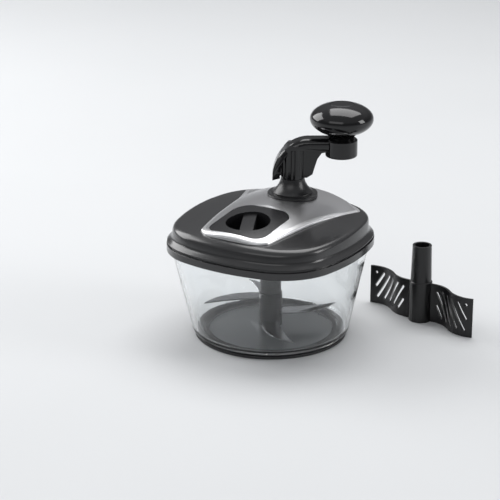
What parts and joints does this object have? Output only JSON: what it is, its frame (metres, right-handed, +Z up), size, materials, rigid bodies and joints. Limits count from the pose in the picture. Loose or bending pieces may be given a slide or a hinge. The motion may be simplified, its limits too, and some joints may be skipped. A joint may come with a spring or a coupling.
{
  "type": "hand-cranked food chopper",
  "caption": "Hand-cranked food chopper: clear bowl under a geared lid with a crank and round knob, lift-out sickle blades and a separate mixing paddle.",
  "frame": {"origin": "centre of the bowl's foot ring, on the table", "axes": "+Z up along the blades' axis; +Y from the filler opening towards the crank; +X to the right seen from the filler side"},
  "size_m": [0.2773, 0.2201, 0.2266],
  "materials": {
    "clear_plastic": "clear and glossy",
    "foot_rubber": "soft, matte",
    "lid_plastic": "anthracite, satin to glossy",
    "ring_plastic": "dark grey, satin",
    "silver_plastic": "satin silver",
    "collar_plastic": "fine matte",
    "crank_plastic": "gloss black",
    "cap_plastic": "satin black",
    "hub_plastic": "matte",
    "gear_plastic": "natural white, greased",
    "bush_plastic": "natural",
    "seal_rubber": "soft, matte",
    "steel": "turned and ground",
    "blade_steel": "polished",
    "brass": "turned"
  },
  "bodies": {
    "bowl": {"bowl": "clear_plastic", "foot_ring": "foot_rubber", "pivot_pin": "steel"},
    "lid": {"lid_base": "ring_plastic", "lid_seal": "seal_rubber", "lid_cover": "lid_plastic", "silver_panel": "silver_plastic", "gear_cover": "gear_plastic", "crank_collar": "collar_plastic", "collar_bush": "brass", "deck_bush": "brass", "spindle_bush": "brass", "spindle_seal": "seal_rubber", "gear_cover_screws": "steel", "lid_screws": "steel", "collar_screws": "steel"},
    "filler_cap": {"cap_plate": "cap_plastic", "cap_seal": "seal_rubber"},
    "crank": {"crank_arm": "crank_plastic", "crank_shaft": "steel", "drive_gear": "gear_plastic", "crank_clip": "steel", "cross_pin": "steel", "knob_pin": "steel", "knob_washer": "steel"},
    "knob": {"knob_body": "crank_plastic", "knob_cap": "crank_plastic", "knob_sleeve": "brass"},
    "spindle": {"pinion_gear": "gear_plastic", "drive_spindle": "steel", "spindle_clip": "steel", "spindle_washer": "steel"},
    "blade_insert": {"blade_hub": "hub_plastic", "blade_hub_bush": "bush_plastic", "bottom_blade": "blade_steel", "lower_blade": "blade_steel", "upper_blade": "blade_steel", "top_blade": "blade_steel"},
    "mixing_paddle": {"mixing_paddle": "hub_plastic", "paddle_bush": "bush_plastic"}
  },
  "joints": [
    {"name": "lid_lift", "type": "slide", "parent": "bowl", "child": "lid", "axis": [0, 0, 1], "range_m": [0, 0.12]},
    {"name": "cap_lift", "type": "slide", "parent": "lid", "child": "filler_cap", "axis": [0, 0, 1], "range_m": [0, 0.05]},
    {"name": "crank_spin", "type": "hinge", "parent": "lid", "child": "crank", "pos_m": [0, 0.042, 0.15], "axis": [0, 0, 1], "continuous": true},
    {"name": "knob_spin", "type": "hinge", "parent": "crank", "child": "knob", "pos_m": [0.0411, 0.06718, 0.19], "axis": [0, 0, 1], "continuous": true},
    {"name": "spindle_spin", "type": "hinge", "parent": "lid", "child": "spindle", "pos_m": [0, 0, 0.1], "axis": [0, 0, 1], "continuous": true},
    {"name": "blade_spin", "type": "hinge", "parent": "bowl", "child": "blade_insert", "pos_m": [0, 0, 0.03], "axis": [0, 0, 1], "continuous": true},
    {"name": "paddle_lift", "type": "slide", "parent": "bowl", "child": "mixing_paddle", "axis": [0, 0, 1], "range_m": [0, 0.1]}
  ],
  "couplings": [
    {"joint": "spindle_spin", "follows": "crank_spin", "ratio": -3},
    {"joint": "blade_spin", "follows": "crank_spin", "ratio": -3}
  ]
}
